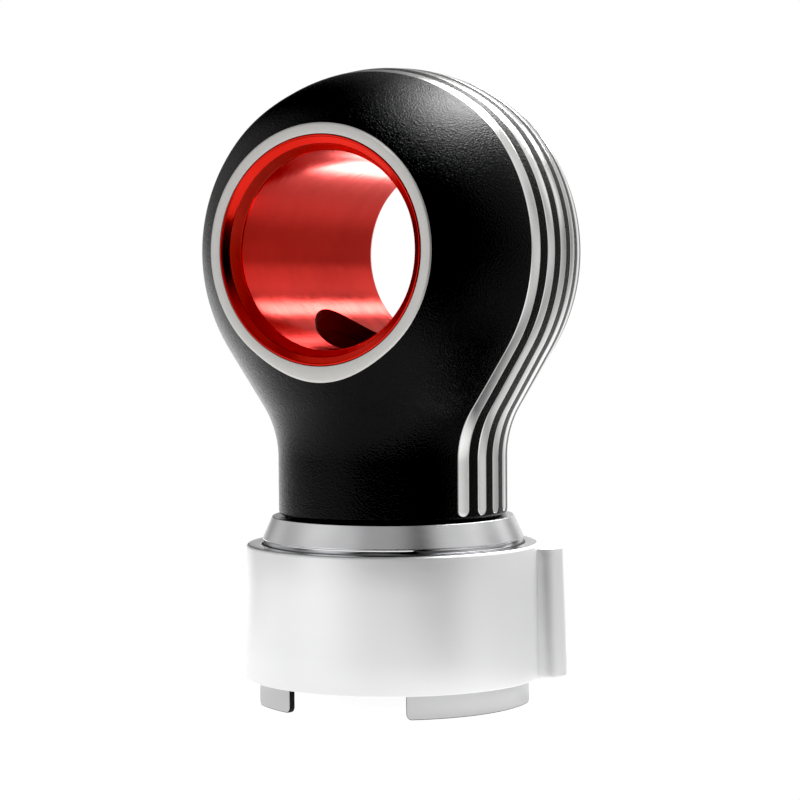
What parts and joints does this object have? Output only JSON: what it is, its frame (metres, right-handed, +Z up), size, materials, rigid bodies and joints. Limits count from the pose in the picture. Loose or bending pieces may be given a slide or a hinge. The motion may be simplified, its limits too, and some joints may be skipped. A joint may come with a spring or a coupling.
{
  "type": "gear shift knob",
  "caption": "Ball gear shift knob with a round through hole, a red bore, bright inlaid bands over the rim, a conical collar and a lift collar with a side rib.",
  "frame": {"origin": "on the knob's vertical axis, in the plane of the lift collar's feet", "axes": "+Z up along the lever, the through hole runs along Y and its front face looks to -Y"},
  "size_m": [0.0504, 0.0398, 0.0834],
  "materials": {
    "grip": "fine pebble texture, satin",
    "band": "polished",
    "ring": "satin",
    "liner": "red anodised, fine brushed round the bore",
    "core": "red anodised",
    "dark_plastic": "moulded",
    "screw_steel": "black oxide",
    "plated_steel": "zinc plated",
    "gasket": "matt",
    "cone": "satin chrome",
    "spring": "drawn wire",
    "white_plastic": "moulded, low friction",
    "sleeve": "satin",
    "shroud": "satin silver"
  },
  "bodies": {
    "knob": {"grip_shell": "grip", "band_1": "band", "band_2": "band", "band_3": "band", "band_4": "band", "band_5": "band", "front_ring": "ring", "rear_ring": "ring", "bore_liner": "liner", "core": "core", "lever_bush": "dark_plastic", "lever_screw": "screw_steel", "screw_washer": "plated_steel", "neck_gasket": "gasket", "collar_cone": "cone", "flange_screws": "screw_steel", "spring_seat": "dark_plastic", "guide_key": "plated_steel", "stop_washer": "plated_steel", "retaining_ring": "screw_steel"},
    "lift_collar": {"lift_guide": "white_plastic", "clip_sleeve": "sleeve", "guide_screws": "plated_steel", "shroud": "shroud", "side_rib": "shroud", "return_spring": "spring"}
  },
  "joints": [
    {"name": "collar_lift", "type": "slide", "parent": "knob", "child": "lift_collar", "axis": [0, 0, 1], "range_m": [0, 0.008], "stiffness_N_per_m": 600, "springref_m": -0.012, "deforming": ["return_spring"]}
  ]
}
